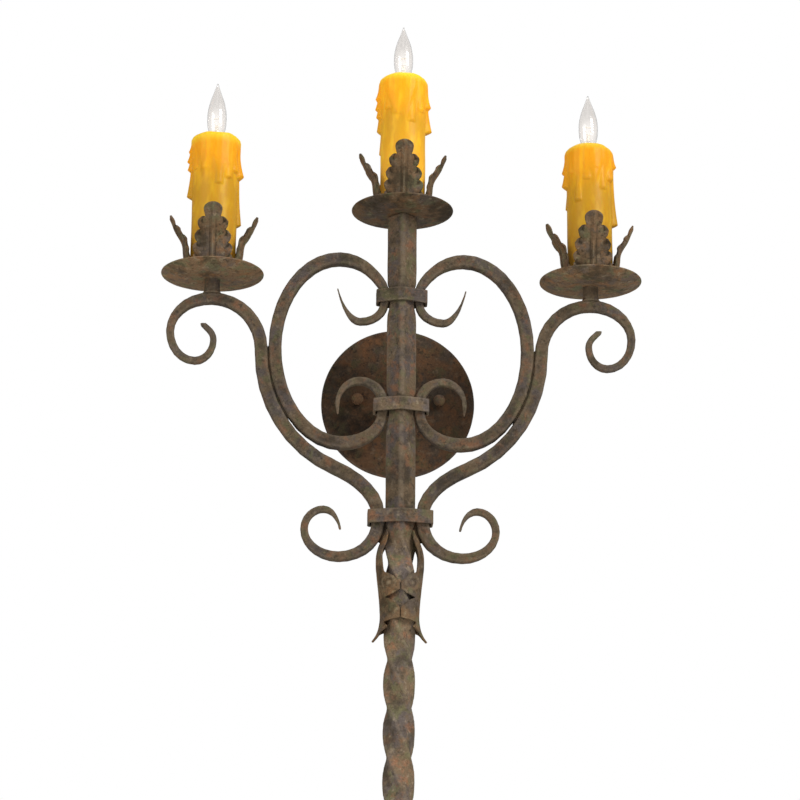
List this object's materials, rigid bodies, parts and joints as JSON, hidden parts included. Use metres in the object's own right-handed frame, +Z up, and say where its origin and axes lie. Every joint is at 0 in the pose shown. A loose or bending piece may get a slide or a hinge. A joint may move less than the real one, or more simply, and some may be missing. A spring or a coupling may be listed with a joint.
{
  "type": "torch wall sconce",
  "caption": "Forged torch sconce: twisted tapering shaft with strap-collared scroll arms, leaf-cupped drip pans and lift-off dripping candle covers over flame bulbs.",
  "frame": {"origin": "centre of the wall bracket's back face, on the wall, midway between the two box screw slots", "axes": "+Z up along the shaft, +Y into the wall, +X to the right seen from the front"},
  "size_m": [0.516, 0.147, 1.0644],
  "materials": {
    "forged_iron": "hammered bar with mottled rust and verdigris patina, worn paler along its edges",
    "canopy_iron": "spun sheet with the same patina, darker and redder",
    "zinc_steel": "zinc plated",
    "brass": "plain brass",
    "socket_black": "moulded phenolic",
    "candle_wax": "translucent amber resin with run drips, satin",
    "bulb_glass": "clear drawn-tip glass",
    "filament": "lit filament on a glass stem"
  },
  "bodies": {
    "root": {"shaft": "forged_iron", "arm_left": "forged_iron", "arm_right": "forged_iron", "scroll_left": "forged_iron", "scroll_right": "forged_iron", "collar_top": "forged_iron", "collar_middle": "forged_iron", "collar_bottom": "forged_iron", "leaf_clasp_left": "forged_iron", "leaf_clasp_right": "forged_iron", "backplate": "canopy_iron", "standoff_post": "forged_iron", "post_nut": "zinc_steel", "wall_bracket": "zinc_steel", "canopy_studs": "zinc_steel", "canopy_knobs": "canopy_iron", "ground_screw": "brass", "riser_left": "forged_iron", "riser_right": "forged_iron", "pan_left": "forged_iron", "pan_centre": "forged_iron", "pan_right": "forged_iron", "leaf_cup_left": "forged_iron", "leaf_cup_centre": "forged_iron", "leaf_cup_right": "forged_iron", "pan_nut_left": "brass", "pan_nut_centre": "brass", "pan_nut_right": "brass", "nipple_left": "zinc_steel", "nipple_centre": "zinc_steel", "nipple_right": "zinc_steel", "socket_bracket_left": "zinc_steel", "socket_bracket_centre": "zinc_steel", "socket_bracket_right": "zinc_steel", "socket_body_left": "socket_black", "socket_body_centre": "socket_black", "socket_body_right": "socket_black", "socket_shell_left": "brass", "socket_shell_centre": "brass", "socket_shell_right": "brass", "socket_contact_left": "brass", "socket_contact_centre": "brass", "socket_contact_right": "brass"},
    "candle_left": {"candle_left": "candle_wax"},
    "bulb_left": {"bulb_glass_left": "bulb_glass", "bulb_base_left": "brass", "bulb_filament_left": "filament"},
    "candle_centre": {"candle_centre": "candle_wax"},
    "bulb_centre": {"bulb_glass_centre": "bulb_glass", "bulb_base_centre": "brass", "bulb_filament_centre": "filament"},
    "candle_right": {"candle_right": "candle_wax"},
    "bulb_right": {"bulb_glass_right": "bulb_glass", "bulb_base_right": "brass", "bulb_filament_right": "filament"}
  },
  "joints": [
    {"name": "candle_left_lift", "type": "slide", "parent": "root", "child": "candle_left", "axis": [0, 0, 1], "range_m": [0, 0.225]},
    {"name": "bulb_left_lift", "type": "slide", "parent": "root", "child": "bulb_left", "axis": [0, 0, 1], "range_m": [0, 0.09]},
    {"name": "candle_centre_lift", "type": "slide", "parent": "root", "child": "candle_centre", "axis": [0, 0, 1], "range_m": [0, 0.225]},
    {"name": "bulb_centre_lift", "type": "slide", "parent": "root", "child": "bulb_centre", "axis": [0, 0, 1], "range_m": [0, 0.09]},
    {"name": "candle_right_lift", "type": "slide", "parent": "root", "child": "candle_right", "axis": [0, 0, 1], "range_m": [0, 0.225]},
    {"name": "bulb_right_lift", "type": "slide", "parent": "root", "child": "bulb_right", "axis": [0, 0, 1], "range_m": [0, 0.09]}
  ]
}
